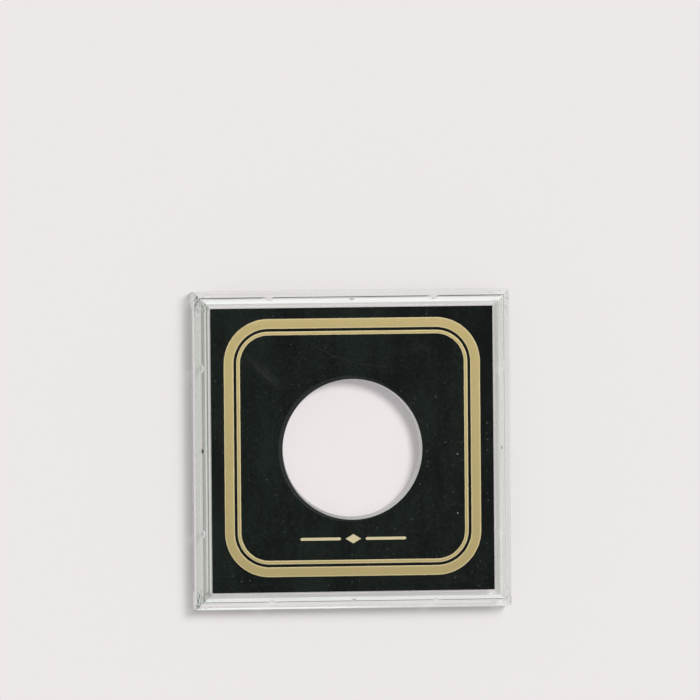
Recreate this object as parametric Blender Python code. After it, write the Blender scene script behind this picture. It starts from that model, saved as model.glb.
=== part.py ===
# Square two-shell coin holder: a clear tray, a clear cover that plugs into it, and between
# them a black board with a coin hole and a border of gold foil.
# Metres, +Z up. The holder lies on its back: its face looks to +Z and its foot to -Y.
import math

import bmesh
import bpy

# Insert board and its coin hole
INSERT_SIDE = 0.0796
INSERT_THICKNESS = 0.0040
COIN_HOLE_DIAMETER = 0.0386
HOLE_CHAMFER = 0.0007

# Cover: a plate with a bevelled rim, and a skirt round the insert
COVER_PLATE = 0.0020
SKIRT_WALL = 0.00225
SKIRT_ROOT_CHAMFER = 0.0006
BEVEL_WIDTH = 0.0013
BEVEL_RISE = 0.0006

# Tray: a floor with a wall round the skirt
TRAY_FLOOR = 0.0020
TRAY_WALL = 0.0017

# Grip ribs inside the tray wall, two on each side
RIB_WIDTH = 0.0018
RIB_STAND = 0.0007
RIB_SPACING = 0.0463
RIB_TOP_DROP = 0.0003

# Pry notches, one in the middle of each edge of the cover
NOTCH_WIDTH = 0.0013
NOTCH_STAND = 0.0008
NOTCH_DEPTH = 0.0012

# Gold foil border, centred a little above the middle of the board
BORDER_MARGIN = 0.0037
BORDER_CORNER_RADIUS = 0.0125
OUTER_BAND_WIDTH = 0.00284
BAND_SPACE = 0.00070
INNER_BAND_WIDTH = 0.00114
BORDER_RISE = 0.00065
FOIL_THICKNESS = 0.00006

# Foil ornament under the hole: a lozenge between two pointed rules
LABEL_LENGTH = 0.0300
LABEL_DISTANCE = 0.0037
RULE_WIDTH = 0.0008
LOZENGE_LENGTH = 0.0044
LOZENGE_HEIGHT = 0.0026
LABEL_SPACE = 0.0012

# Broken edges and corners of the mouldings
CORNER_RADIUS = 0.0005
EDGE_BREAK = 0.00025
INSERT_CORNER_RADIUS = 0.0003

# Clearances
INSERT_GAP = 0.0004
SEAM_GAP = 0.0003
SEAT_GAP = 0.0003
RIB_GAP = 0.0003
FOIL_GAP = 0.00002
CUT_MARGIN = 0.001

# Fineness of the round outlines
HOLE_STEPS = 96
CORNER_STEPS = 3
BORDER_CORNER_STEPS = 16
ARC_STEPS = 8
SHARP_ANGLE = math.radians(35)

# Materials: linear colours, roughness, and what light does inside the acrylic
ACRYLIC_COLOUR = (0.93, 0.94, 0.92)
ACRYLIC_ROUGHNESS = 0.06
ACRYLIC_IOR = 1.49
BOARD_COLOUR = (0.0103, 0.0137, 0.0123)
BOARD_ROUGHNESS = 0.45
FOIL_COLOUR = (0.51, 0.41, 0.18)
FOIL_ROUGHNESS = 0.35

# Heights above the floor that the holder lies on
insert_base = TRAY_FLOOR + SEAT_GAP
insert_face = insert_base + INSERT_THICKNESS
foil_base = insert_face + FOIL_GAP
foil_face = foil_base + FOIL_THICKNESS
skirt_base = TRAY_FLOOR + SEAT_GAP
cover_underside = foil_face + SEAT_GAP
cover_face = cover_underside + COVER_PLATE
wall_top = cover_face - BEVEL_RISE

# Half-widths from the middle of the holder outwards
insert_half = INSERT_SIDE / 2
skirt_inside = insert_half + INSERT_GAP
cover_half = skirt_inside + SKIRT_WALL
cavity_half = cover_half + SEAM_GAP
holder_half = cavity_half + TRAY_WALL
hole_radius = COIN_HOLE_DIAMETER / 2
border_half = insert_half - BORDER_MARGIN

SIDES = 4


def clear_scene():
    for old in list(bpy.data.objects):
        bpy.data.objects.remove(old, do_unlink=True)


def principled(name, colour, roughness):
    """A new material and its shader, whose other inputs the caller may set."""
    material = bpy.data.materials.new(name)
    material.use_nodes = True
    shader = material.node_tree.nodes["Principled BSDF"]
    shader.inputs["Base Color"].default_value = (*colour, 1.0)
    shader.inputs["Roughness"].default_value = roughness
    return material, shader


def make_clear_acrylic():
    material, shader = principled("clear_acrylic", ACRYLIC_COLOUR, ACRYLIC_ROUGHNESS)
    shader.inputs["Transmission Weight"].default_value = 1.0
    shader.inputs["IOR"].default_value = ACRYLIC_IOR
    return material


def make_black_board():
    material, _ = principled("black_board", BOARD_COLOUR, BOARD_ROUGHNESS)
    return material


def make_gold_foil():
    material, shader = principled("gold_foil", FOIL_COLOUR, FOIL_ROUGHNESS)
    shader.inputs["Metallic"].default_value = 1.0
    return material


def as_object(name, mesh, material=None, parent=None, smooth=False):
    bmesh.ops.recalc_face_normals(mesh, faces=mesh.faces)
    data = bpy.data.meshes.new(name)
    mesh.to_mesh(data)
    mesh.free()
    if smooth:
        data.shade_smooth()
        data.set_sharp_from_angle(angle=SHARP_ANGLE)
    obj = bpy.data.objects.new(name, data)
    bpy.context.scene.collection.objects.link(obj)
    obj.parent = parent
    if material:
        data.materials.append(material)
    return obj


def slide_guide(name):
    """An empty on the line along which a loose piece lifts out."""
    guide = bpy.data.objects.new(name, None)
    bpy.context.scene.collection.objects.link(guide)
    guide.empty_display_size = holder_half
    return guide


def rounded_square(half, radius, steps):
    """Outline of a square with round corners, from the right-hand side round to the left."""
    points = []
    for corner in range(SIDES):
        start = corner * math.pi / 2
        centre_x = (half - radius) * (1 if corner in (0, 3) else -1)
        centre_y = (half - radius) * (1 if corner in (0, 1) else -1)
        for step in range(steps + 1):
            angle = start + step / steps * math.pi / 2
            points.append((centre_x + radius * math.cos(angle), centre_y + radius * math.sin(angle)))
    return points


def circle(radius, steps):
    angles = [step / steps * math.tau for step in range(steps)]
    return [(radius * math.cos(angle), radius * math.sin(angle)) for angle in angles]


def bulge(width, stand, root):
    """Outline of a rib on the line y = 0: an arc of this width and height over a square root."""
    radius = (width**2 / 4 + stand**2) / (2 * stand)
    spread = math.atan2(width / 2, radius - stand)
    points = [(-width / 2, -root), (width / 2, -root)]
    for step in range(ARC_STEPS + 1):
        angle = spread * (1 - 2 * step / ARC_STEPS)
        points.append((radius * math.sin(angle), stand - radius + radius * math.cos(angle)))
    return points


def on_side(outline, side, distance, offset):
    """The outline with its line y = 0 on one side of the holder, at this distance, bulging inwards."""
    angle = side * math.pi / 2
    placed = []
    for x, y in outline:
        along = offset - x
        out = distance - y
        placed.append(
            (
                out * math.cos(angle) - along * math.sin(angle),
                out * math.sin(angle) + along * math.cos(angle),
            )
        )
    return placed


def add_prism(mesh, outline, bottom, top):
    face = mesh.faces.new([mesh.verts.new((x, y, bottom)) for x, y in outline])
    grown = bmesh.ops.extrude_face_region(mesh, geom=[face])["geom"]
    lifted = [item for item in grown if isinstance(item, bmesh.types.BMVert)]
    bmesh.ops.translate(mesh, vec=(0, 0, top - bottom), verts=lifted)


def add_loft(mesh, outline, sections):
    """A solid through sections of (height, growth), each the outline made wider by a share."""
    height, growth = sections[0]
    base = mesh.faces.new([mesh.verts.new((x * growth, y * growth, height)) for x, y in outline])
    face = base
    for next_height, next_growth in sections[1:]:
        grown = bmesh.ops.extrude_face_region(mesh, geom=[face])["geom"]
        if face is not base:
            bmesh.ops.delete(mesh, geom=[face], context="FACES_ONLY")
        face = next(item for item in grown if isinstance(item, bmesh.types.BMFace))
        share = next_growth / growth
        bmesh.ops.translate(mesh, vec=(0, 0, next_height - height), verts=face.verts)
        bmesh.ops.scale(mesh, vec=(share, share, 1), verts=face.verts)
        height, growth = next_height, next_growth


def square_block(half, corner_radius, levels):
    """A mesh through levels of (height, half-width), with this half-width as its full section."""
    mesh = bmesh.new()
    outline = rounded_square(half, corner_radius, CORNER_STEPS)
    add_loft(mesh, outline, [(height, level / half) for height, level in levels])
    return mesh


def side_bulges(width, stand, root, distance, offsets, bottom, top):
    """A mesh of upright ribs on all four sides, at these offsets along each side."""
    mesh = bmesh.new()
    for side in range(SIDES):
        for offset in offsets:
            outline = on_side(bulge(width, stand, root), side, distance, offset)
            add_prism(mesh, outline, bottom, top)
    return mesh


def combine(target, name, mesh, operation, smooth=False):
    """Joins a helper mesh to the target, or cuts it away, with a Boolean that stays live."""
    helper = as_object(f"{target.name}_{name}", mesh, parent=target, smooth=smooth)
    helper.hide_render = True
    helper.display_type = "WIRE"
    step = target.modifiers.new(name, "BOOLEAN")
    step.operation = operation
    step.solver = "EXACT"
    step.object = helper


def rib_offsets():
    return (-RIB_SPACING / 2, RIB_SPACING / 2)


def make_rear_tray(clear_acrylic):
    body = square_block(
        holder_half,
        CORNER_RADIUS,
        [
            (0, holder_half - EDGE_BREAK),
            (EDGE_BREAK, holder_half),
            (wall_top - EDGE_BREAK, holder_half),
            (wall_top, holder_half - EDGE_BREAK),
        ],
    )
    tray = as_object("rear_tray", body, clear_acrylic)
    cavity = square_block(
        cavity_half,
        CORNER_RADIUS,
        [(TRAY_FLOOR, cavity_half), (wall_top + CUT_MARGIN, cavity_half)],
    )
    combine(tray, "cavity", cavity, "DIFFERENCE")
    ribs = side_bulges(
        RIB_WIDTH,
        RIB_STAND,
        TRAY_WALL / 2,
        cavity_half,
        rib_offsets(),
        TRAY_FLOOR / 2,
        wall_top - RIB_TOP_DROP,
    )
    combine(tray, "ribs", ribs, "UNION", smooth=True)


def make_front_cover(clear_acrylic, guide):
    body = square_block(
        cover_half,
        CORNER_RADIUS,
        [
            (skirt_base, cover_half - EDGE_BREAK),
            (skirt_base + EDGE_BREAK, cover_half),
            (wall_top, cover_half),
            (cover_face, cover_half - BEVEL_WIDTH),
        ],
    )
    cover = as_object("front_cover", body, clear_acrylic, guide)
    hollow = square_block(
        skirt_inside,
        CORNER_RADIUS,
        [
            (skirt_base - CUT_MARGIN, skirt_inside),
            (cover_underside - SKIRT_ROOT_CHAMFER, skirt_inside),
            (cover_underside, skirt_inside - SKIRT_ROOT_CHAMFER),
        ],
    )
    combine(cover, "hollow", hollow, "DIFFERENCE")
    grooves = side_bulges(
        RIB_WIDTH + 2 * RIB_GAP,
        RIB_STAND + RIB_GAP,
        CUT_MARGIN,
        cavity_half,
        rib_offsets(),
        skirt_base - CUT_MARGIN,
        cover_face + CUT_MARGIN,
    )
    combine(cover, "grooves", grooves, "DIFFERENCE", smooth=True)
    notches = side_bulges(
        NOTCH_WIDTH,
        NOTCH_STAND,
        CUT_MARGIN,
        cover_half,
        (0,),
        wall_top - NOTCH_DEPTH,
        cover_face + CUT_MARGIN,
    )
    combine(cover, "notches", notches, "DIFFERENCE", smooth=True)


def make_insert_board(black_board, guide):
    body = square_block(
        insert_half,
        INSERT_CORNER_RADIUS,
        [(insert_base, insert_half), (insert_face, insert_half)],
    )
    board = as_object("insert_board", body, black_board, guide)
    hole = bmesh.new()
    rim = hole_radius + HOLE_CHAMFER
    add_loft(
        hole,
        circle(hole_radius, HOLE_STEPS),
        [
            (insert_base - CUT_MARGIN, 1),
            (insert_face - HOLE_CHAMFER, 1),
            (insert_face + CUT_MARGIN, (rim + CUT_MARGIN) / hole_radius),
        ],
    )
    combine(board, "coin_hole", hole, "DIFFERENCE", smooth=True)


def make_border_band(name, gold_foil, guide, inset, width):
    """A closed band of foil whose outside lies this far inside the border's outside edge."""
    outside_radius = BORDER_CORNER_RADIUS - inset
    outside = rounded_square(border_half - inset, outside_radius, BORDER_CORNER_STEPS)
    inside = rounded_square(border_half - inset - width, outside_radius - width, BORDER_CORNER_STEPS)
    mesh = bmesh.new()
    loops = []
    for outline in (outside, inside):
        verts = [mesh.verts.new((x, y + BORDER_RISE, foil_base)) for x, y in outline]
        loops += [mesh.edges.new(pair) for pair in zip(verts, verts[1:] + verts[:1])]
    bmesh.ops.bridge_loops(mesh, edges=loops)
    grown = bmesh.ops.extrude_face_region(mesh, geom=mesh.faces[:], use_keep_orig=True)["geom"]
    lifted = [item for item in grown if isinstance(item, bmesh.types.BMVert)]
    bmesh.ops.translate(mesh, vec=(0, 0, FOIL_THICKNESS), verts=lifted)
    as_object(name, mesh, gold_foil, guide, smooth=True)


def make_label(gold_foil, guide):
    middle_y = -(hole_radius + HOLE_CHAMFER + LABEL_DISTANCE + LOZENGE_HEIGHT / 2)
    lozenge = bmesh.new()
    tips = [
        (LOZENGE_LENGTH / 2, middle_y),
        (0, middle_y + LOZENGE_HEIGHT / 2),
        (-LOZENGE_LENGTH / 2, middle_y),
        (0, middle_y - LOZENGE_HEIGHT / 2),
    ]
    add_prism(lozenge, tips, foil_base, foil_face)
    as_object("label_lozenge", lozenge, gold_foil, guide)
    near = LOZENGE_LENGTH / 2 + LABEL_SPACE
    far = LABEL_LENGTH / 2
    point = RULE_WIDTH / 2
    for name, way in (("label_rule_left", -1), ("label_rule_right", 1)):
        rule = bmesh.new()
        outline = [
            (way * near, middle_y),
            (way * (near + point), middle_y + point),
            (way * (far - point), middle_y + point),
            (way * far, middle_y),
            (way * (far - point), middle_y - point),
            (way * (near + point), middle_y - point),
        ]
        add_prism(rule, outline, foil_base, foil_face)
        as_object(name, rule, gold_foil, guide)


def main():
    clear_scene()
    clear_acrylic = make_clear_acrylic()
    black_board = make_black_board()
    gold_foil = make_gold_foil()
    insert_slide = slide_guide("insert_slide")
    cover_slide = slide_guide("cover_slide")
    cover_slide.parent = insert_slide
    make_rear_tray(clear_acrylic)
    make_insert_board(black_board, insert_slide)
    make_border_band("border_foil_outer", gold_foil, insert_slide, 0, OUTER_BAND_WIDTH)
    inner_inset = OUTER_BAND_WIDTH + BAND_SPACE
    make_border_band("border_foil_inner", gold_foil, insert_slide, inner_inset, INNER_BAND_WIDTH)
    make_label(gold_foil, insert_slide)
    make_front_cover(clear_acrylic, cover_slide)


main()
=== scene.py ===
import math

import bmesh
import bpy
from mathutils import Matrix, Vector


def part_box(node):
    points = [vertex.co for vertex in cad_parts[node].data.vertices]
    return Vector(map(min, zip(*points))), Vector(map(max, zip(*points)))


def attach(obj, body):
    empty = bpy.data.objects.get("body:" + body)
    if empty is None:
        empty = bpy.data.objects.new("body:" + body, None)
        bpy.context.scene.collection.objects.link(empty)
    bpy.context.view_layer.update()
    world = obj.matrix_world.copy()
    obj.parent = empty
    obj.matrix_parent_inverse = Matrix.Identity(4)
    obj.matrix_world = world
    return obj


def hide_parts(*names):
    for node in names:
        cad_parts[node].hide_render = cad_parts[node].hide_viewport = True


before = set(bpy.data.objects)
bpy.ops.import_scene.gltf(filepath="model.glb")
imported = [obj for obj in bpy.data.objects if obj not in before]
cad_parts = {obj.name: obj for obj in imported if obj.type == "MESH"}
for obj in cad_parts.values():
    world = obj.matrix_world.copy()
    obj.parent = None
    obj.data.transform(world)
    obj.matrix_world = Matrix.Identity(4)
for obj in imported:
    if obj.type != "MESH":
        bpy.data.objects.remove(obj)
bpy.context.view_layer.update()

mm = 0.001
tiny = 0.01 * mm


# modelling by hand: what is selected is what the next operator works on

def leaveEditMode():
    if bpy.context.mode != "OBJECT":
        bpy.ops.object.mode_set(mode="OBJECT")


def dropAll():
    leaveEditMode()
    bpy.ops.object.select_all(action="DESELECT")


def takeUp(piece):
    dropAll()
    piece.select_set(True)
    bpy.context.view_layer.objects.active = piece


def editAll(piece):
    takeUp(piece)
    bpy.ops.object.mode_set(mode="EDIT")
    bpy.ops.mesh.select_mode(type="VERT")
    bpy.ops.mesh.select_all(action="SELECT")


def pick(kind, test):
    bpy.ops.mesh.select_mode(type=kind)
    bpy.ops.mesh.select_all(action="DESELECT")
    data = bpy.context.edit_object.data
    cage = bmesh.from_edit_mesh(data)
    for item in {"VERT": cage.verts, "EDGE": cage.edges, "FACE": cage.faces}[kind]:
        if test(item):
            item.select_set(True)
    cage.select_flush_mode()
    bmesh.update_edit_mesh(data)


def reach(point):  # half-width of the upright square that a point lies on
    return max(abs(point.x), abs(point.y))


def softProfile(corners, steps):
    # corners as half-width, height and radius; a corner with a radius becomes a short arc
    rings = []
    for i, (half, height, radius) in enumerate(corners):
        here = Vector((half, height))
        if not radius:
            rings.append(here)
            continue
        before = (Vector(corners[i - 1][:2]) - here).normalized()
        after = (Vector(corners[i + 1][:2]) - here).normalized()
        opening = before.angle(after) / 2
        centre = here + (before + after).normalized() * radius / math.sin(opening)
        first = here + before * radius / math.tan(opening) - centre
        last = here + after * radius / math.tan(opening) - centre
        rings += [centre + radius * first.slerp(last, k / steps) for k in range(steps + 1)]
    return rings


def addSheet(name, halfX, halfY, centre, cornerRadius, cornerSteps):
    # a flat sheet with round corners, left in edit mode with its face selected
    dropAll()
    bpy.ops.mesh.primitive_plane_add(size=2)
    sheet = bpy.context.object
    sheet.name = sheet.data.name = name
    editAll(sheet)
    bpy.ops.transform.resize(value=(halfX, halfY, 1))
    bpy.ops.transform.translate(value=tuple(centre))
    bpy.ops.mesh.bevel(offset=cornerRadius, segments=cornerSteps, affect="VERTICES")
    pick("FACE", lambda f: True)
    return sheet


def raiseRings(rings):
    # extrudes the selected face from ring to ring
    for before, after in zip(rings, rings[1:]):
        bpy.ops.mesh.extrude_region_move(
            TRANSFORM_OT_translate={"value": (0, 0, after.y - before.y)}
        )
        k = after.x / before.x
        bpy.ops.transform.resize(value=(k, k, 1), center_override=(0, 0, after.y))


def roundEdges(radius, segments):
    bpy.ops.mesh.bevel(offset=radius, segments=segments, affect="EDGES", clamp_overlap=False)


def cutOrJoin(piece, tool, operation):
    takeUp(piece)
    step = piece.modifiers.new("join", "BOOLEAN")
    step.operation = operation
    step.solver = "EXACT"
    step.object = tool
    bpy.ops.object.modifier_apply(modifier=step.name)
    bpy.data.objects.remove(tool, do_unlink=True)


meshFinish = {
    "mergeWithin": 0.002 * mm,
    "sharpAngle": 40,
}


def finishMesh(piece, s=meshFinish):
    editAll(piece)
    bpy.ops.mesh.remove_doubles(threshold=s["mergeWithin"])
    bpy.ops.mesh.normals_make_consistent(inside=False)
    takeUp(piece)
    bpy.ops.object.shade_smooth_by_angle(angle=math.radians(s["sharpAngle"]))
    flat = piece.modifiers.new("flat faces", "WEIGHTED_NORMAL")  # keeps the plates optically flat
    flat.keep_sharp = True
    bpy.ops.object.modifier_apply(modifier=flat.name)
    print("made", piece.name, len(piece.data.polygons), "faces")


# upright rods, the same on all four sides, that are joined on as ribs or cut out as grooves
rodShape = {
    "steps": 48,
    "leadSteps": 3,
}


def uprightRods(name, rodRadius, distance, offsets, bottom, top, lead, s=rodShape):
    dropAll()
    bpy.ops.mesh.primitive_cylinder_add(vertices=s["steps"], radius=rodRadius, depth=top - bottom)
    rod = bpy.context.object
    rod.name = name
    editAll(rod)
    bpy.ops.transform.translate(value=(0, 0, (top + bottom) / 2))
    if lead:  # a rounded lead-in at the top
        pick("EDGE", lambda e: all(abs(v.co.z - top) < tiny for v in e.verts))
        roundEdges(lead, s["leadSteps"])
    leaveEditMode()
    copies = []
    for side in range(4):
        for offset in offsets:
            takeUp(rod)
            bpy.ops.object.duplicate()
            copy = bpy.context.object
            turn = Matrix.Rotation(side * math.pi / 2, 4, "Z")
            copy.data.transform(turn @ Matrix.Translation((distance, offset, 0)))
            copies.append(copy)
    bpy.data.objects.remove(rod, do_unlink=True)
    takeUp(copies[0])
    for copy in copies:
        copy.select_set(True)
    bpy.ops.object.join()
    return copies[0]


def arcRadius(width, stand):  # radius of the round rib that shows this width and height
    return (width ** 2 / 4 + stand ** 2) / (2 * stand)


# rear tray: a floor, a wall round it and eight grip ribs inside the wall
trayShape = {
    "wall": 1.7 * mm,
    "floor": 2.0 * mm,
    "firstRing": 1.0 * mm,  # in from the edge, where the back starts
    "lastRing": 1.0 * mm,  # in from the wall, where the floor is closed
    "cornerRadius": 0.5 * mm,
    "cornerSteps": 6,
    "edgeRadius": 0.25 * mm,
    "lipRadius": 0.18 * mm,
    "floorFillet": 0.2 * mm,
    "arcSteps": 3,
    "ribWidth": 1.8 * mm,
    "ribStand": 0.7 * mm,
    "ribSpacing": 46.3 * mm,
    "ribDrop": 0.3 * mm,
    "ribLead": 0.3 * mm,
}


def makeTray(s):
    low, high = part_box("rear_tray")
    half, top = high.x, high.z
    inside = half - s["wall"]
    rings = softProfile([
        (half - s["firstRing"], low.z, 0),
        (half, low.z, s["edgeRadius"]),
        (half, top, s["edgeRadius"]),
        (inside, top, s["lipRadius"]),
        (inside, s["floor"], s["floorFillet"]),
        (inside - s["lastRing"], s["floor"], 0),
    ], s["arcSteps"])
    start = rings[0].x
    tray = addSheet("rearTray", start, start, (0, 0, low.z), s["cornerRadius"], s["cornerSteps"])
    raiseRings(rings)
    leaveEditMode()
    rodRadius = arcRadius(s["ribWidth"], s["ribStand"])
    ribs = uprightRods(
        "gripRibs",
        rodRadius,
        inside - s["ribStand"] + rodRadius,
        (-s["ribSpacing"] / 2, s["ribSpacing"] / 2),
        s["floor"] / 2,
        top - s["ribDrop"],
        s["ribLead"],
    )
    cutOrJoin(tray, ribs, "UNION")
    finishMesh(tray)
    return tray


# front cover: a window plate with a bevelled rim and a skirt that plugs into the tray
coverShape = {
    "rimRise": 0.6 * mm,
    "rimWidth": 1.3 * mm,
    "rimRadius": 0.3 * mm,
    "shoulderRadius": 0.15 * mm,
    "plate": 2.0 * mm,
    "skirt": 2.25 * mm,
    "skirtRadius": 0.25 * mm,
    "rootFillet": 0.3 * mm,
    "arcSteps": 3,
    "lastRing": 1.0 * mm,  # in from the skirt, where the window's back is closed
    "cornerRadius": 0.5 * mm,
    "cornerSteps": 6,
    "grooveWidth": 2.4 * mm,
    "grooveStand": 1.0 * mm,
    "grooveBack": 0.3 * mm,
    "notchWidth": 1.3 * mm,
    "notchStand": 0.8 * mm,
    "notchDepth": 1.2 * mm,
    "cutMargin": 1.0 * mm,
}


def makeCover(s):
    low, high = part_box("front_cover")
    half = high.x
    shoulder = high.z - s["rimRise"]
    underside = high.z - s["plate"]
    hollow = half - s["skirt"]
    rings = softProfile([
        (half - 2 * s["rimWidth"], high.z, 0),
        (half - s["rimWidth"], high.z, s["rimRadius"]),
        (half, shoulder, s["shoulderRadius"]),
        (half, low.z, s["skirtRadius"]),
        (hollow, low.z, s["skirtRadius"]),
        (hollow, underside, s["rootFillet"]),
        (hollow - s["lastRing"], underside, 0),
    ], s["arcSteps"])
    start = rings[0].x
    cover = addSheet(
        "frontCover", start, start, (0, 0, high.z), s["cornerRadius"], s["cornerSteps"]
    )
    raiseRings(rings)
    leaveEditMode()
    spacing = trayShape["ribSpacing"]
    grooveRadius = arcRadius(s["grooveWidth"], s["grooveStand"])
    grooves = uprightRods(
        "ribGrooves",
        grooveRadius,
        half + s["grooveBack"] - s["grooveStand"] + grooveRadius,
        (-spacing / 2, spacing / 2),
        low.z - s["cutMargin"],
        high.z + s["cutMargin"],
        0,
    )
    cutOrJoin(cover, grooves, "DIFFERENCE")
    notchRadius = arcRadius(s["notchWidth"], s["notchStand"])
    notches = uprightRods(
        "pryNotches",
        notchRadius,
        half - s["notchStand"] + notchRadius,
        (0,),
        shoulder - s["notchDepth"],
        high.z + s["cutMargin"],
        0,
    )
    cutOrJoin(cover, notches, "DIFFERENCE")
    finishMesh(cover)
    return cover


# insert board: a square plate with a punched coin hole, whose rim rolls over on the front
boardShape = {
    "holeRadius": 19.2 * mm,
    "holeSteps": 192,
    "holeDraft": 0.42 * mm,
    "rollWidth": 0.8 * mm,
    "rollDepth": 0.5 * mm,
    # the punch went in at a slight slant
    "rollShift": (-0.45 * mm, 0.25 * mm, 0),
    "backShift": (0, 0.3 * mm, 0),
    "rollRadius": 0.15 * mm,
    "rimRadius": 0.12 * mm,
    "backRadius": 0.15 * mm,
    "arcSteps": 6,
    "edgeRadius": 0.1 * mm,
    "edgeSteps": 2,
}


def makeBoard(s):
    low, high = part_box("insert_board")
    half = high.x
    rim = s["holeRadius"] + s["holeDraft"]
    rings = softProfile([
        (2 * half, low.z, 0),
        (s["holeRadius"], low.z, s["backRadius"]),
        (rim, high.z - s["rollDepth"], s["rimRadius"]),
        (rim + s["rollWidth"], high.z, s["rollRadius"]),
        (2 * half, high.z, 0),
    ], s["arcSteps"])
    dropAll()
    bpy.ops.mesh.primitive_circle_add(vertices=s["holeSteps"], radius=rings[0].x)
    board = bpy.context.object
    board.name = board.data.name = "insertBoard"
    editAll(board)
    bpy.ops.transform.translate(value=(0, 0, low.z))
    raiseRings(rings)
    pick("VERT", lambda v: v.co.z > high.z - s["rollDepth"] / 2)
    bpy.ops.transform.translate(value=s["rollShift"])
    pick("VERT", lambda v: v.co.z < low.z + s["rollDepth"] / 2)
    bpy.ops.transform.translate(value=s["backShift"])
    for side in range(4):  # trims the disc to the square
        out = Matrix.Rotation(side * math.pi / 2, 3, "Z") @ Vector((1, 0, 0))
        bpy.ops.mesh.select_all(action="SELECT")
        bpy.ops.mesh.bisect(plane_co=out * half, plane_no=out, clear_outer=True)
    pick("EDGE", lambda e: e.is_boundary)
    bpy.ops.mesh.bridge_edge_loops()
    bpy.ops.mesh.select_all(action="SELECT")
    bpy.ops.mesh.normals_make_consistent(inside=False)
    for height in (low.z, high.z):
        pick("EDGE", lambda e: all(
            abs(v.co.z - height) < tiny and reach(v.co) > half - tiny for v in e.verts
        ))
        roundEdges(s["edgeRadius"], s["edgeSteps"])
    finishMesh(board)
    return board


# border of foil: bands with round corners, pressed a little thinner at their edges
bandShape = {
    "cornerRadius": 12.5 * mm,
    "cornerSteps": 24,
    "outerWidth": 2.73 * mm,
    "outerPitch": 3.54 * mm,  # from the outer band's edge to the inner band's
    "innerWidth": 1.02 * mm,
    "edgeWidth": 0.3 * mm,
    "edgeDrop": 0.016 * mm,
}


def makeBand(name, node, width, cornerRadius, s):
    low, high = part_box(node)
    middle = (low + high) / 2
    half = (high - low) / 2
    foot = (middle.x, middle.y, low.z)
    band = addSheet(name, half.x, half.y, foot, cornerRadius, s["cornerSteps"])
    bpy.ops.mesh.inset(thickness=width)
    bpy.ops.mesh.delete(type="FACE")
    pick("FACE", lambda f: True)
    bpy.ops.mesh.extrude_region_move(
        TRANSFORM_OT_translate={"value": (0, 0, high.z - low.z - s["edgeDrop"])}
    )
    bpy.ops.mesh.inset(thickness=s["edgeWidth"], depth=s["edgeDrop"])
    finishMesh(band)
    # marks the pressed edge faces, which get a painted highlight in the foil
    pressed = band.data.attributes.new("pressedEdge", "FLOAT", "FACE")
    for face, mark in zip(band.data.polygons, pressed.data):
        lowest = min(band.data.vertices[v].co.z for v in face.vertices)
        facesUp = face.normal.z > 0.5
        mark.value = facesUp and lowest < high.z - s["edgeDrop"] / 2
    return band


tray = makeTray(trayShape)
cover = makeCover(coverShape)
board = makeBoard(boardShape)
outerBand = makeBand(
    "borderFoilOuter",
    "border_foil_outer",
    bandShape["outerWidth"],
    bandShape["cornerRadius"],
    bandShape,
)
innerBand = makeBand(
    "borderFoilInner",
    "border_foil_inner",
    bandShape["innerWidth"],
    bandShape["cornerRadius"] - bandShape["outerPitch"],
    bandShape,
)
label = [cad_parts[n] for n in ("label_rule_left", "label_lozenge", "label_rule_right")]


# materials

def hexColour(code):
    parts = [int(code[i:i + 2], 16) / 255 for i in (1, 3, 5)]
    linear = [p / 12.92 if p <= 0.04045 else ((p + 0.055) / 1.055) ** 2.4 for p in parts]
    return (*linear, 1.0)


def addNode(tree, kind, settings={}, links={}):
    # From and To set both ends of a range at once
    # a link comes from a node's first output, or from a named one given as (node, output)
    node = tree.nodes.new("ShaderNode" + kind)
    for key, value in settings.items():
        if key in ("From", "To"):
            node.inputs[key + " Min"].default_value = value[0]
            node.inputs[key + " Max"].default_value = value[1]
        elif isinstance(key, str) and hasattr(node, key):
            setattr(node, key, value)
        else:
            node.inputs[key].default_value = value
    for key, source in links.items():
        source, output = source if isinstance(source, tuple) else (source, 0)
        tree.links.new(source.outputs[output], node.inputs[key])
    return node


def newMaterial(name):
    material = bpy.data.materials.new(name)
    material.use_nodes = True
    material.node_tree.nodes.clear()
    return material, material.node_tree


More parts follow.
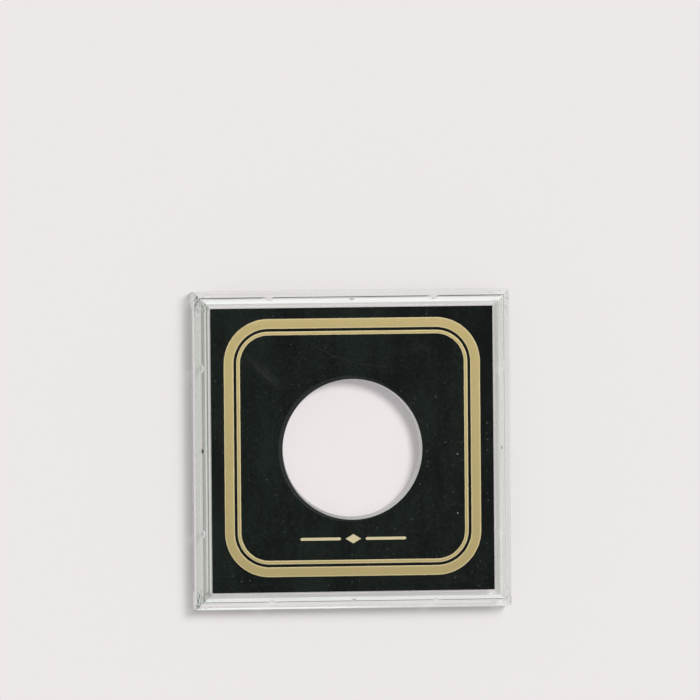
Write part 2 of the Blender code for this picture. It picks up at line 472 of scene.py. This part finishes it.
# in these looks two numbers are where a place starts and ends, or the levels at its two ends,
# and the range of a noise sets its contrast
acrylicLook = {
    "window": "#fefefd",
    "rails": "#fbfdf9",  # top and bottom
    "shadedSideRails": "#dae1d8",  # painted shade on the side rails: the left darker, the right less so
    "shadeAndGrimeLeftToRight": (1, 0.35),  # share of painted shade and grime, from the left rail to the right
    "ior": 1.49,
    "roughness": (0.015, 0.16),  # clear, and where the painted highlight, the painted shade and the grime lie
    "width": (-40 * mm, 40 * mm),
    "railStart": (39.9 * mm, 40.3 * mm),
    "frontStart": (7.85 * mm, 8.0 * mm),
    # streaks, with their size across, along and down a rail
    "streakSize": (0.5 * mm, 26 * mm, 3 * mm),
    "streakRange": (0.35, 0.7),
    "streakVeil": 0.17,
    # white veil on the front, by distance from the middle: painted highlight, strongest on the bevel
    # and at the foot
    "veilReach": (39 * mm, 45 * mm),
    "veil": (
        (40.0 * mm, 0), (40.3 * mm, 0.12), (41.1 * mm, 0.14), (41.3 * mm, 0.6),
        (42.3 * mm, 0.6), (42.6 * mm, 0.05), (43.0 * mm, 0.1), (44.4 * mm, 0.1),
    ),
    "veilFromFoot": (1.4, 1),
    "sideShare": (1, 0.45),  # less painted highlight and painted seam shade on the left and right rails
    # painted highlight along the edge it stands on, most to the left
    "footHighlight": 0.95,
    "footEdge": (-43.75 * mm, -43.95 * mm),
    "footHighlightEnd": (-5 * mm, 22 * mm),
    "lip": (7.3 * mm, 7.6 * mm),
    # painted shade in the seam between tray and cover; its grey also serves the painted shade in the
    # notches and the grime in the corners
    "dust": "#4b4d4a",
    "shadeAndGrimeHides": 0.85,
    "seam": 42.65 * mm,
    "seamDrop": 0.15 * mm,  # the painted shade lies further in at the foot
    "seamHalf": (0.22 * mm, 0.3 * mm),
    "seamTop": (6.4 * mm, 7.6 * mm),
    "seamFloor": 2.1 * mm,
    "seamFloorHalf": (0.2 * mm, 0.5 * mm),
    "seamLevel": (0.7, 1),
    "ribs": trayShape["ribSpacing"] / 2,  # the ribs fill the seam there, so it gets no painted shade
    "ribHalf": (1.0 * mm, 1.3 * mm),
    # painted shade in the pry notches
    "notch": 42.4 * mm,
    "notchSize": (0.5 * mm, 0.8 * mm, 1 * mm),
    "notchRim": (0.8, 1.1),
    "notchFloor": (6.3 * mm, 6.8 * mm),
    "notchLevel": (0.3, 1),
    # grime in the corners
    "cornerReach": (36 * mm, 41 * mm),
    "grimeSize": (0.4 * mm, 1.6 * mm, 1.6 * mm),
    "grimeRange": (0.55, 0.63),
    "grimeLevel": 0.85,
    "grimeShare": (0.45, 1),  # most in the left corners
    "handledGrime": 0.07,
    # what a lamp's light keeps in the plates and, seen edge on, in the walls
    "edgeOn": (0.45, 0.8),
    "lampLight": (0.99, 0.38),
}


def clearAcrylic(s):
    # moulded PMMA: clear and glossy, greenish in the rails, a white veil of painted highlight on the
    # bevel and foot edge, painted shade on the side rails and grey painted shade in the seam and
    # notches, grime in the corners; lamps shine straight through its plates and lose light in its walls
    material, tree = newMaterial("mouldedClearAcrylic")
    place = addNode(tree, "TexCoord")
    axes = addNode(tree, "SeparateXYZ", {}, {0: (place, "Object")})
    absX = addNode(tree, "Math", {"operation": "ABSOLUTE"}, {0: (axes, "X")})
    absY = addNode(tree, "Math", {"operation": "ABSOLUTE"}, {0: (axes, "Y")})
    out = addNode(tree, "Math", {"operation": "MAXIMUM"}, {0: absX, 1: absY})
    along = addNode(tree, "Math", {"operation": "MINIMUM"}, {0: absX, 1: absY})
    sideRail = addNode(tree, "Math", {"operation": "GREATER_THAN"}, {0: absX, 1: absY})
    sideShare = addNode(tree, "MapRange", {"To": s["sideShare"]}, {0: sideRail})
    leftMost = addNode(
        tree, "MapRange", {"From": s["width"], "To": s["shadeAndGrimeLeftToRight"]}, {0: (axes, "X")}
    )
    side = addNode(tree, "Math", {"operation": "MULTIPLY"}, {0: sideRail, 1: leftMost})
    rail = addNode(tree, "MapRange", {"From": s["railStart"]}, {0: out})
    front = addNode(tree, "MapRange", {"From": s["frontStart"]}, {0: (axes, "Z")})
    corner = addNode(tree, "MapRange", {"From": s["cornerReach"]}, {0: along})
    leftSideCorner = addNode(tree, "Math", {"operation": "MULTIPLY"}, {0: corner, 1: side})

    # streaks run along each rail
    signedAlong = addNode(tree, "Math", {"operation": "ADD"}, {0: (axes, "X"), 1: (axes, "Y")})
    lengthwise = addNode(tree, "CombineXYZ", {}, {0: out, 1: signedAlong, 2: (axes, "Z")})
    stretched = addNode(
        tree, "VectorMath", {"operation": "DIVIDE", 1: s["streakSize"]}, {0: lengthwise}
    )
    streakNoise = addNode(
        tree, "TexNoise", {"Scale": 1, "Detail": 2, "Roughness": 0.5}, {"Vector": stretched}
    )
    streak = addNode(tree, "MapRange", {"From": s["streakRange"]}, {0: streakNoise})

    # veil on the front of the rails: painted highlight, strongest on the bevel and at the foot, less on
    # the side rails
    position = addNode(tree, "MapRange", {"From": s["veilReach"]}, {0: out})
    ramp = addNode(tree, "ValToRGB", {}, {0: position})
    stops = ramp.color_ramp.elements
    nearest, furthest = s["veilReach"]
    for i, (distance, level) in enumerate(s["veil"]):
        at = (distance - nearest) / (furthest - nearest)
        stop = stops[0] if i == 0 else stops.new(at)
        stop.position = at
        stop.color = (level, level, level, 1)
    stops.remove(stops[-1])
    footShare = addNode(
        tree, "MapRange", {"From": s["width"], "To": s["veilFromFoot"]}, {0: (axes, "Y")}
    )
    shared = addNode(tree, "Math", {"operation": "MULTIPLY"}, {0: footShare, 1: sideShare})
    evenVeil = addNode(tree, "Math", {"operation": "MULTIPLY"}, {0: ramp, 1: shared})
    railStreak = addNode(tree, "Math", {"operation": "MULTIPLY"}, {0: streak, 1: rail})
    bothVeils = addNode(
        tree,
        "Math",
        {"operation": "MULTIPLY_ADD", 1: s["streakVeil"]},
        {0: railStreak, 2: evenVeil},
    )
    frontVeil = addNode(tree, "Math", {"operation": "MULTIPLY"}, {0: bothVeils, 1: front})

    # painted highlight along the edge at the foot
    footEdge = addNode(
        tree, "MapRange", {"From": s["footEdge"], "To": (0, s["footHighlight"])}, {0: (axes, "Y")}
    )
    footLeft = addNode(
        tree, "MapRange", {"From": s["footHighlightEnd"], "To": (1, 0)}, {0: (axes, "X")}
    )
    lip = addNode(tree, "MapRange", {"From": s["lip"]}, {0: (axes, "Z")})
    lipLeft = addNode(tree, "Math", {"operation": "MULTIPLY"}, {0: footLeft, 1: lip})
    footHighlight = addNode(tree, "Math", {"operation": "MULTIPLY"}, {0: footEdge, 1: lipLeft})
    # the veil and the foot edge together: painted highlight
    veil = addNode(tree, "Math", {"operation": "MAXIMUM"}, {0: frontVeil, 1: footHighlight})

    # painted shade in the seam, but not beside the ribs
    seamPlace = addNode(
        tree,
        "MapRange",
        {"From": s["width"], "To": (s["seam"] - s["seamDrop"], s["seam"])},
        {0: (axes, "Y")},
    )
    fromSeam = addNode(tree, "Math", {"operation": "SUBTRACT"}, {0: out, 1: seamPlace})
    seamSide = addNode(tree, "Math", {"operation": "ABSOLUTE"}, {0: fromSeam})
    seam = addNode(tree, "MapRange", {"From": s["seamHalf"], "To": (1, 0)}, {0: seamSide})
    seamTop = addNode(tree, "MapRange", {"From": s["seamTop"]}, {0: (axes, "Z")})
    fromFloor = addNode(
        tree, "Math", {"operation": "SUBTRACT", 1: s["seamFloor"]}, {0: (axes, "Z")}
    )
    floorSide = addNode(tree, "Math", {"operation": "ABSOLUTE"}, {0: fromFloor})
    seamFloor = addNode(
        tree, "MapRange", {"From": s["seamFloorHalf"], "To": (1, 0)}, {0: floorSide}
    )
    seamEnds = addNode(tree, "Math", {"operation": "MAXIMUM"}, {0: seamTop, 1: seamFloor})
    seamLine = addNode(tree, "Math", {"operation": "MULTIPLY"}, {0: seam, 1: seamEnds})
    seamLevel = addNode(tree, "MapRange", {"To": s["seamLevel"]}, {0: streak})
    seamMost = addNode(tree, "Math", {"operation": "MAXIMUM"}, {0: sideShare, 1: leftSideCorner})
    seamThere = addNode(tree, "Math", {"operation": "MULTIPLY"}, {0: seamLevel, 1: seamMost})
    fromRib = addNode(tree, "Math", {"operation": "SUBTRACT", 1: s["ribs"]}, {0: along})
    ribSide = addNode(tree, "Math", {"operation": "ABSOLUTE"}, {0: fromRib})
    besideRib = addNode(tree, "MapRange", {"From": s["ribHalf"]}, {0: ribSide})
    seamOpen = addNode(tree, "Math", {"operation": "MULTIPLY"}, {0: seamThere, 1: besideRib})
    seamShade = addNode(tree, "Math", {"operation": "MULTIPLY"}, {0: seamLine, 1: seamOpen})

    # painted shade in the pry notches
    fromNotch = addNode(tree, "Math", {"operation": "SUBTRACT", 1: s["notch"]}, {0: out})
    nearNotch = addNode(tree, "CombineXYZ", {}, {0: fromNotch, 1: along})
    inNotch = addNode(
        tree, "VectorMath", {"operation": "DIVIDE", 1: s["notchSize"]}, {0: nearNotch}
    )
    notchReach = addNode(tree, "VectorMath", {"operation": "LENGTH"}, {0: inNotch})
    notch = addNode(
        tree, "MapRange", {"From": s["notchRim"], "To": (1, 0)}, {0: (notchReach, "Value")}
    )
    notchLevel = addNode(tree, "MapRange", {"To": s["notchLevel"]}, {0: side})
    notchFloor = addNode(tree, "MapRange", {"From": s["notchFloor"]}, {0: (axes, "Z")})
    notchFill = addNode(tree, "Math", {"operation": "MULTIPLY"}, {0: notch, 1: notchLevel})
    notchShade = addNode(tree, "Math", {"operation": "MULTIPLY"}, {0: notchFill, 1: notchFloor})

    # grime in the corners
    dashes = addNode(
        tree, "VectorMath", {"operation": "DIVIDE", 1: s["grimeSize"]}, {0: lengthwise}
    )
    grimeNoise = addNode(
        tree, "TexNoise", {"Scale": 1, "Detail": 3, "Roughness": 0.65}, {"Vector": dashes}
    )
    moreGrime = addNode(
        tree,
        "Math",
        {"operation": "MULTIPLY_ADD", 1: s["handledGrime"]},
        {0: leftSideCorner, 2: grimeNoise},
    )
    grimeSpots = addNode(
        tree, "MapRange", {"From": s["grimeRange"], "To": (0, s["grimeLevel"])}, {0: moreGrime}
    )
    grimeShare = addNode(tree, "MapRange", {"To": s["grimeShare"]}, {0: side})
    cornerFront = addNode(tree, "Math", {"operation": "MULTIPLY"}, {0: corner, 1: front})
    cornerRail = addNode(tree, "Math", {"operation": "MULTIPLY"}, {0: cornerFront, 1: rail})
    cornerShare = addNode(tree, "Math", {"operation": "MULTIPLY"}, {0: cornerRail, 1: grimeShare})
    grime = addNode(tree, "Math", {"operation": "MULTIPLY"}, {0: grimeSpots, 1: cornerShare})
    # dust here is painted shade in the seam and notches, together with the grime in the corners
    seamAndNotchShade = addNode(tree, "Math", {"operation": "MAXIMUM"}, {0: seamShade, 1: notchShade})
    dust = addNode(tree, "Math", {"operation": "MAXIMUM"}, {0: seamAndNotchShade, 1: grime})

    # greenish rails, with painted shade on the side rails, most on the left
    railTintAndShade = addNode(
        tree,
        "Mix",
        {"data_type": "RGBA", 6: hexColour(s["rails"]), 7: hexColour(s["shadedSideRails"])},
        {0: side},
    )
    tint = addNode(
        tree, "Mix", {"data_type": "RGBA", 6: hexColour(s["window"])}, {0: rail, 7: (railTintAndShade, 2)}
    )
    colour = addNode(
        tree, "Mix", {"data_type": "RGBA", 7: hexColour(s["dust"])}, {0: dust, 6: (tint, 2)}
    )
    lost = addNode(
        tree, "Math", {"operation": "MULTIPLY_ADD", 1: s["shadeAndGrimeHides"]}, {0: dust, 2: veil}
    )
    clear = addNode(
        tree, "Math", {"operation": "SUBTRACT", "use_clamp": True, 0: 1.0}, {1: lost}
    )
    rough = addNode(tree, "MapRange", {"To": s["roughness"]}, {0: lost})
    shader = addNode(
        tree,
        "BsdfPrincipled",
        {"IOR": s["ior"]},
        {"Base Color": (colour, 2), "Roughness": rough, "Transmission Weight": clear},
    )
    path = addNode(tree, "LightPath")
    facing = addNode(tree, "LayerWeight", {"Blend": 0.5})
    passing = addNode(
        tree, "MapRange", {"From": s["edgeOn"], "To": s["lampLight"]}, {0: (facing, "Facing")}
    )
    lampLight = addNode(tree, "BsdfTransparent", {}, {"Color": passing})
    straight = addNode(tree, "BsdfTransparent")
    surface = shader
    for ray, other in (("Is Shadow Ray", lampLight), ("Is Reflection Ray", straight)):
        surface = addNode(tree, "MixShader", {}, {0: (path, ray), 1: surface, 2: other})
    addNode(tree, "OutputMaterial", {}, {"Surface": surface})
    return material


boardLook = {
    "blacks": ("#050b08", "#131d18"),
    "ior": 1.55,
    "roughness": (0.1, 0.2),
    "cloudSize": (9 * mm, 24 * mm, 9 * mm),
    "cloudRange": (0.3, 0.7),
    "width": (-40 * mm, 40 * mm),
    "paler": (0.1, -0.3),  # from the left edge to the right
    "grainSize": 0.75 * mm,  # coarser than the real grain, so that it shows
    "grainRange": (0.3, 0.7),
    "grain": (-0.6, 0.6),
    # the cut edge round the hole: painted shade, darker to the left, and painted highlight, pale to the
    # right
    "cutEdge": ("#8f918e", "#f4f6f2"),
    "cutEdgeEnd": (19.66 * mm, 19.74 * mm),
    "cutEdgeTurn": (-9 * mm, 17 * mm),
    "dust": "#8d918e",
    # specks of dust: width of a cell, share of cells that stay bare, largest speck, faintest, brightest
    "specks": ((6 * mm, 0.7, 0.3 * mm, 0.15, 0.9), (2.4 * mm, 0.3, 0.26 * mm, 0.04, 0.3)),
    "speckRim": 0.08 * mm,
    "wobbleSize": 0.5 * mm,
    "wobble": (0.3 * mm, 0.3 * mm, 0),
    "driftSize": 13 * mm,  # the dust lies in drifts
    "driftRange": (0.4, 0.6),
    # rubbed places: X, Y, turn, length, width and how pale
    "rubs": (
        (-25 * mm, 22 * mm, -43, 19 * mm, 4.6 * mm, 0.055),
        (17 * mm, 28 * mm, 6, 18 * mm, 5 * mm, 0.02),
        (31 * mm, -36.5 * mm, -22, 13 * mm, 1.2 * mm, 0.03),
        (-17 * mm, -13 * mm, 62, 14 * mm, 2.4 * mm, 0.016),
        (-27 * mm, -37.5 * mm, 4, 20 * mm, 1.5 * mm, 0.02),
    ),
    "rubFade": (0.1, 1),
    "rubStreakSize": (9 * mm, 0.7 * mm, 1 * mm),
    "rubStreakRange": (0.35, 0.65),
    "rubStreak": (0.2, 1),
    # one long curved scratch over the hole
    "scratchCentre": (11 * mm, 64 * mm, 0),
    "scratchRadius": 41 * mm,
    "scratchWidth": 0.3 * mm,
    "scratchEnds": (8 * mm, 16 * mm),
    "scratch": 0.03,
}


def blackBoard(s):
    # calendered black styrene: deep greenish black and glossy, faintly clouded, grained and rubbed,
    # with a scratch, specks of dust and a cut edge with painted shade to the left and painted highlight
    # to the right
    material, tree = newMaterial("calenderedBlackStyrene")
    place = addNode(tree, "TexCoord")
    axes = addNode(tree, "SeparateXYZ", {}, {0: (place, "Object")})
    flat = addNode(tree, "CombineXYZ", {}, {0: (axes, "X"), 1: (axes, "Y")})

    # clouds and a fine grain, paler to the left
    upright = addNode(
        tree, "VectorMath", {"operation": "DIVIDE", 1: s["cloudSize"]}, {0: (place, "Object")}
    )
    cloud = addNode(
        tree, "TexNoise", {"Scale": 1, "Detail": 4, "Roughness": 0.6}, {"Vector": upright}
    )
    clouds = addNode(tree, "MapRange", {"From": s["cloudRange"]}, {0: cloud})
    paler = addNode(tree, "MapRange", {"From": s["width"], "To": s["paler"]}, {0: (axes, "X")})
    grainNoise = addNode(
        tree, "TexNoise", {"Scale": 1 / s["grainSize"], "Detail": 2}, {"Vector": (place, "Object")}
    )
    grain = addNode(
        tree, "MapRange", {"From": s["grainRange"], "To": s["grain"]}, {0: grainNoise}
    )
    shaded = addNode(tree, "Math", {"operation": "ADD"}, {0: clouds, 1: paler})
    grained = addNode(tree, "Math", {"operation": "ADD", "use_clamp": True}, {0: shaded, 1: grain})
    tone = addNode(
        tree,
        "Mix",
        {"data_type": "RGBA", 6: hexColour(s["blacks"][0]), 7: hexColour(s["blacks"][1])},
        {0: grained},
    )

    # one curved scratch
    fromCentre = addNode(
        tree, "VectorMath", {"operation": "DISTANCE", 1: s["scratchCentre"]}, {0: flat}
    )
    fromArc = addNode(
        tree, "Math", {"operation": "SUBTRACT", 1: s["scratchRadius"]}, {0: (fromCentre, "Value")}
    )
    besideArc = addNode(tree, "Math", {"operation": "ABSOLUTE"}, {0: fromArc})
    onArc = addNode(
        tree, "MapRange", {"From": (0, s["scratchWidth"]), "To": (s["scratch"], 0)}, {0: besideArc}
    )
    absX = addNode(tree, "Math", {"operation": "ABSOLUTE"}, {0: (axes, "X")})
    arcEnds = addNode(tree, "MapRange", {"From": s["scratchEnds"], "To": (1, 0)}, {0: absX})
    marks = addNode(tree, "Math", {"operation": "MULTIPLY"}, {0: onArc, 1: arcEnds})

    # rubbed places, streaked along their length
    for x, y, turn, length, width, level in s["rubs"]:
        fromRub = addNode(tree, "VectorMath", {"operation": "SUBTRACT", 1: (x, y, 0)}, {0: flat})
        turned = addNode(
            tree,
            "VectorRotate",
            {"rotation_type": "Z_AXIS", "Angle": -math.radians(turn)},
            {"Vector": fromRub},
        )
        inRub = addNode(
            tree, "VectorMath", {"operation": "DIVIDE", 1: (length / 2, width / 2, 1)}, {0: turned}
        )
        rubReach = addNode(tree, "VectorMath", {"operation": "LENGTH"}, {0: inRub})
        rub = addNode(
            tree,
            "MapRange",
            {"interpolation_type": "SMOOTHSTEP", "From": s["rubFade"], "To": (level, 0)},
            {0: (rubReach, "Value")},
        )
        drawn = addNode(
            tree, "VectorMath", {"operation": "DIVIDE", 1: s["rubStreakSize"]}, {0: turned}
        )
        rubNoise = addNode(tree, "TexNoise", {"Scale": 1, "Detail": 2}, {"Vector": drawn})
        streaked = addNode(
            tree, "MapRange", {"From": s["rubStreakRange"], "To": s["rubStreak"]}, {0: rubNoise}
        )
        rubbed = addNode(tree, "Math", {"operation": "MULTIPLY"}, {0: rub, 1: streaked})
        marks = addNode(tree, "Math", {"operation": "MAXIMUM"}, {0: marks, 1: rubbed})

    # specks of dust with ragged outlines
    driftNoise = addNode(
        tree, "TexNoise", {"Scale": 1 / s["driftSize"], "Detail": 2}, {"Vector": (place, "Object")}
    )
    drift = addNode(tree, "MapRange", {"From": s["driftRange"]}, {0: driftNoise})
    wobble = addNode(
        tree, "TexNoise", {"Scale": 1 / s["wobbleSize"], "Detail": 2}, {"Vector": (place, "Object")}
    )
    ragged = addNode(
        tree,
        "VectorMath",
        {"operation": "MULTIPLY_ADD", 1: s["wobble"]},
        {0: (wobble, "Color"), 2: flat},
    )
    for cell, bare, largest, faintest, brightest in s["specks"]:
        cells = addNode(
            tree, "TexVoronoi", {"voronoi_dimensions": "2D", "Scale": 1 / cell}, {"Vector": ragged}
        )
        lot = addNode(tree, "SeparateColor", {}, {0: (cells, "Color")})
        size = addNode(tree, "MapRange", {"From": (bare, 1), "To": (0, largest / cell)}, {0: lot})
        inside = addNode(tree, "Math", {"operation": "SUBTRACT"}, {0: size, 1: (cells, "Distance")})
        speck = addNode(tree, "MapRange", {"From": (0, s["speckRim"] / cell)}, {0: inside})
        level = addNode(tree, "MapRange", {"To": (faintest, brightest)}, {0: (lot, 1)})
        dust = addNode(tree, "Math", {"operation": "MULTIPLY"}, {0: speck, 1: level})
        drifted = addNode(tree, "Math", {"operation": "MULTIPLY"}, {0: dust, 1: drift})
        marks = addNode(tree, "Math", {"operation": "MAXIMUM"}, {0: marks, 1: drifted})
    dusty = addNode(
        tree, "Mix", {"data_type": "RGBA", 7: hexColour(s["dust"])}, {0: marks, 6: (tone, 2)}
    )

    # cut edge round the hole, with painted shade to the left and painted highlight to the right
    fromAxis = addNode(tree, "VectorMath", {"operation": "LENGTH"}, {0: flat})
    cutEdge = addNode(
        tree, "MapRange", {"From": s["cutEdgeEnd"], "To": (1, 0)}, {0: (fromAxis, "Value")}
    )
    across = addNode(tree, "MapRange", {"From": s["cutEdgeTurn"]}, {0: (axes, "X")})
    shadedCutEdge = addNode(
        tree,
        "Mix",
        {"data_type": "RGBA", 6: hexColour(s["cutEdge"][0]), 7: hexColour(s["cutEdge"][1])},
        {0: across},
    )
    colour = addNode(
        tree, "Mix", {"data_type": "RGBA"}, {0: cutEdge, 6: (dusty, 2), 7: (shadedCutEdge, 2)}
    )
    rough = addNode(tree, "MapRange", {"To": s["roughness"]}, {0: cloud})
    shader = addNode(
        tree, "BsdfPrincipled", {"IOR": s["ior"]}, {"Base Color": (colour, 2), "Roughness": rough}
    )
    addNode(tree, "OutputMaterial", {}, {"Surface": shader})
    return material


foilLook = {
    "patches": ("#b9a272", "#b1a56d"),
    "patchSize": 2.6 * mm,
    "patchRange": (0.3, 0.7),
    "grain": "#cebf8a",
    "grainSize": 0.7 * mm,  # coarser than the real grain, so that it shows
    "grainRange": (0.3, 0.7),
    "grainLevel": 0.45,
    # painted highlight on the pressed edges of the bands
    "pressedEdge": "#dbcca4",
    "edgeLevel": 0.5,
    "shadeFootToHead": (0.78, 0.94),  # painted shade: darker at the foot of the border than at its head
    "shadeOver": (-37 * mm, 37 * mm),
    "metallic": 0.7,
    "roughness": (0.52, 0.64),
}
labelFoilLook = dict(foilLook, patches=("#cdc19f", "#c4b991"), grain="#d8cfb0", shadeFootToHead=(0.94, 0.94))


def goldFoil(name, s):
    # hot-stamped foil: satin pale gold, pink and green in patches, with painted shade darker towards
    # the foot and a painted highlight paler along the edges where the die pressed it
    material, tree = newMaterial(name)
    place = addNode(tree, "TexCoord")
    axes = addNode(tree, "SeparateXYZ", {}, {0: (place, "Object")})
    patchNoise = addNode(
        tree,
        "TexNoise",
        {"Scale": 1 / s["patchSize"], "Detail": 3, "Roughness": 0.6},
        {"Vector": (place, "Object")},
    )
    patch = addNode(tree, "MapRange", {"From": s["patchRange"]}, {0: patchNoise})
    hue = addNode(
        tree,
        "Mix",
        {"data_type": "RGBA", 6: hexColour(s["patches"][0]), 7: hexColour(s["patches"][1])},
        {0: patch},
    )
    grainNoise = addNode(
        tree,
        "TexNoise",
        {"Scale": 1 / s["grainSize"], "Detail": 3, "Roughness": 0.65},
        {"Vector": (place, "Object")},
    )
    grain = addNode(
        tree, "MapRange", {"From": s["grainRange"], "To": (0, s["grainLevel"])}, {0: grainNoise}
    )
    mottled = addNode(
        tree, "Mix", {"data_type": "RGBA", 7: hexColour(s["grain"])}, {0: grain, 6: (hue, 2)}
    )
    # painted shade, darker towards the foot
    value = addNode(
        tree, "MapRange", {"From": s["shadeOver"], "To": s["shadeFootToHead"]}, {0: (axes, "Y")}
    )
    shadeFootToHead = addNode(tree, "HueSaturation", {}, {"Value": value, "Color": (mottled, 2)})
    # painted highlight on the pressed edges
    pressed = addNode(tree, "Attribute", {"attribute_name": "pressedEdge"})
    edge = addNode(tree, "MapRange", {"To": (0, s["edgeLevel"])}, {0: (pressed, "Fac")})
    colour = addNode(
        tree, "Mix", {"data_type": "RGBA", 7: hexColour(s["pressedEdge"])}, {0: edge, 6: shadeFootToHead}
    )
    rough = addNode(
        tree, "MapRange", {"From": s["grainRange"], "To": s["roughness"]}, {0: grainNoise}
    )
    shader = addNode(
        tree,
        "BsdfPrincipled",
        {"Metallic": s["metallic"]},
        {"Base Color": (colour, 2), "Roughness": rough},
    )
    addNode(tree, "OutputMaterial", {}, {"Surface": shader})
    return material


def paint(piece, material):
    piece.data.materials.clear()
    piece.data.materials.append(material)


acrylic = clearAcrylic(acrylicLook)
black = blackBoard(boardLook)
gold = goldFoil("hotStampedGoldFoil", foilLook)
labelGold = goldFoil("finelyStampedGoldFoil", labelFoilLook)  # paler, the small die presses harder
newPieces = (
    (tray, acrylic, "tray", "clear_acrylic", ("rear_tray",)),
    (cover, acrylic, "cover", "clear_acrylic", ("front_cover",)),
    (board, black, "insert", "black_board", ("insert_board",)),
    (outerBand, gold, "insert", "gold_foil", ("border_foil_outer",)),
    (innerBand, gold, "insert", "gold_foil", ("border_foil_inner",)),
)
for piece, material, body, slot, nodes in newPieces:
    paint(piece, material)
    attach(piece, body)
    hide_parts(*nodes)
for piece in label:
    paint(piece, labelGold)
print("materials on", len(newPieces) + len(label), "pieces")


# floor, light and camera
floorLook = {
    "card": "#ede8e8",
    "behindAcrylic": "#fff8fb",  # a little paler there, as the backdrop shows in glass
    "pale": 1.08,
    "paleInAcrylic": 0.33,
    "paleInReflections": 0.65,
    "size": 12,
    "drop": 0.02 * mm,
}


def makeFloor(s):
    dropAll()
    bpy.ops.mesh.primitive_plane_add(size=s["size"])
    floor = bpy.context.object
    floor.name = "floor"
    floor.location.z = -s["drop"]
    material, tree = newMaterial("paleCard")
    path = addNode(tree, "LightPath")
    tint = addNode(
        tree,
        "Mix",
        {"data_type": "RGBA", 6: hexColour(s["card"]), 7: hexColour(s["behindAcrylic"])},
        {0: (path, "Is Transmission Ray")},
    )
    card = addNode(tree, "BsdfDiffuse", {}, {"Color": (tint, 2)})
    pale = addNode(
        tree, "Emission", {"Color": hexColour(s["behindAcrylic"]), "Strength": s["pale"]}
    )
    reflected = addNode(
        tree,
        "Math",
        {"operation": "SUBTRACT"},
        {0: (path, "Is Glossy Ray"), 1: (path, "Is Transmission Ray")},
    )
    held = addNode(
        tree, "Math", {"operation": "MULTIPLY", 1: s["paleInReflections"]}, {0: reflected}
    )
    share = addNode(
        tree,
        "Math",
        {"operation": "MULTIPLY_ADD", 1: s["paleInAcrylic"]},
        {0: (path, "Is Transmission Ray"), 2: held},
    )
    mix = addNode(tree, "MixShader", {}, {0: share, 1: card, 2: pale})
    addNode(tree, "OutputMaterial", {}, {"Surface": mix})
    floor.data.materials.append(material)


studio = {
    "level": 0.36,
    # how bright it shows in reflections, from the left to the right
    "reflected": (0.24, 0.48),
    "reflectedOver": (-0.7, 0.7),
    # darker right above
    "overhead": (1, 0.11),
    "overheadOver": (0.72, 0.95),
}


def makeWorld(s):
    world = bpy.data.worlds.new("studio")
    bpy.context.scene.world = world
    world.use_nodes = True
    tree = world.node_tree
    tree.nodes.clear()
    place = addNode(tree, "TexCoord")
    axes = addNode(tree, "SeparateXYZ", {}, {0: (place, "Generated")})
    height = addNode(
        tree, "MapRange", {"From": s["overheadOver"], "To": s["overhead"]}, {0: (axes, "Z")}
    )
    keySide = addNode(
        tree, "MapRange", {"From": s["reflectedOver"], "To": s["reflected"]}, {0: (axes, "X")}
    )
    path = addNode(tree, "LightPath")
    level = addNode(tree, "Mix", {2: s["level"]}, {0: (path, "Is Glossy Ray"), 3: keySide})
    strength = addNode(tree, "Math", {"operation": "MULTIPLY"}, {0: height, 1: level})
    light = addNode(tree, "Background", {"Color": (1, 1, 1, 1)}, {"Strength": strength})
    back = addNode(tree, "Background", {"Color": hexColour(floorLook["card"])})
    mix = addNode(tree, "MixShader", {}, {0: (path, "Is Camera Ray"), 1: light, 2: back})
    addNode(tree, "OutputWorld", {}, {"Surface": mix})


keyLight = {
    "azimuth": 40,
    "elevation": 62,
    "spread": 20,
    "strength": 2.64,
    "inReflections": 0.01,  # a large soft box, so it shows only faintly in the acrylic
}


def makeKey(s):
    lamp = bpy.data.lights.new("key", "SUN")
    lamp.energy = s["strength"]
    lamp.angle = math.radians(s["spread"])
    lamp.use_nodes = True
    tree = lamp.node_tree
    tree.nodes.clear()
    path = addNode(tree, "LightPath")
    share = addNode(tree, "MapRange", {"To": (1, s["inReflections"])}, {0: (path, "Glossy Depth")})
    glow = addNode(tree, "Emission", {}, {"Strength": share})
    addNode(tree, "OutputLight", {}, {"Surface": glow})
    key = bpy.data.objects.new("key", lamp)
    bpy.context.scene.collection.objects.link(key)
    a, e = math.radians(s["azimuth"]), math.radians(s["elevation"])
    towards = Vector((math.cos(e) * math.cos(a), math.cos(e) * math.sin(a), math.sin(e)))
    key.rotation_mode = "QUATERNION"
    key.rotation_quaternion = towards.to_track_quat("Z", "Y")


cameraView = {
    "tiltLeft": 7.0,
    "tiltDown": -2.0,
    "roll": 0.5,
    "distance": 5.0,
    "sensor": 36,
    "clip": (0.1, 20),
    "pixelsPerMm": 3.575,
    "frame": 700,
    "aim": (-0.4 * mm, 27.8 * mm, 6.3 * mm),
}


def makeCamera(s):
    data = bpy.data.cameras.new("camera")
    camera = bpy.data.objects.new("camera", data)
    bpy.context.scene.collection.objects.link(camera)
    tx, ty = math.tan(math.radians(s["tiltLeft"])), math.tan(math.radians(s["tiltDown"]))
    back = Vector((-tx, -ty, 1)).normalized()
    width = s["frame"] / s["pixelsPerMm"] * mm
    data.sensor_width = s["sensor"]
    data.lens = s["sensor"] * s["distance"] / width
    data.clip_start, data.clip_end = s["clip"]
    up = Vector((0, 1, 0))
    right = up.cross(back).normalized()
    up = back.cross(right)
    turn = Matrix((right, up, back)).transposed()
    turn = turn @ Matrix.Rotation(math.radians(-s["roll"]), 3, "Z")
    camera.rotation_mode = "QUATERNION"
    camera.rotation_quaternion = turn.to_quaternion()
    camera.location = Vector(s["aim"]) + back * s["distance"]
    bpy.context.scene.camera = camera


makeFloor(floorLook)
makeWorld(studio)
makeKey(keyLight)
makeCamera(cameraView)
bpy.context.scene.view_settings.view_transform = "Standard"
print("floor, light and camera set")
